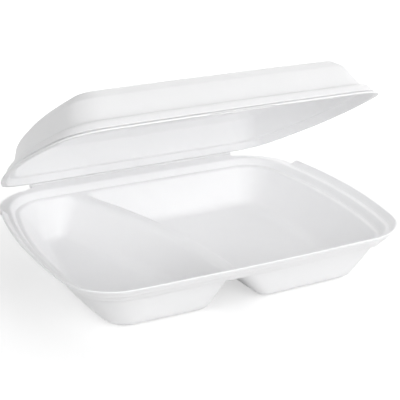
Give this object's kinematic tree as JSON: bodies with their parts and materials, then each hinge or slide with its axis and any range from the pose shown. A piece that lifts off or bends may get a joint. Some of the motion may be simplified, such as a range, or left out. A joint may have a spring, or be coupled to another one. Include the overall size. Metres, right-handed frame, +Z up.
{
  "type": "foam clamshell container",
  "caption": "White foam takeaway box: tray with a stepped rim and a curved divider between food compartments, and a domed lid on a crease hinge along its back edge.",
  "frame": {"origin": "on the table, under the middle of the box's outline seen from above", "axes": "+Z up, +X along the hinge towards the larger compartment, -Y towards the front edge that opens"},
  "size_m": [0.24, 0.2036, 0.1382],
  "materials": {
    "foam": "matte white foam sheet"
  },
  "bodies": {
    "base": {"base": "foam"},
    "lid": {"lid": "foam"}
  },
  "joints": [
    {"name": "lid_hinge", "type": "hinge", "parent": "base", "child": "lid", "pos_m": [0, 0.1002, 0.0344], "axis": [-1, 0, 0], "range_deg": [-26.8, 153.2]}
  ]
}
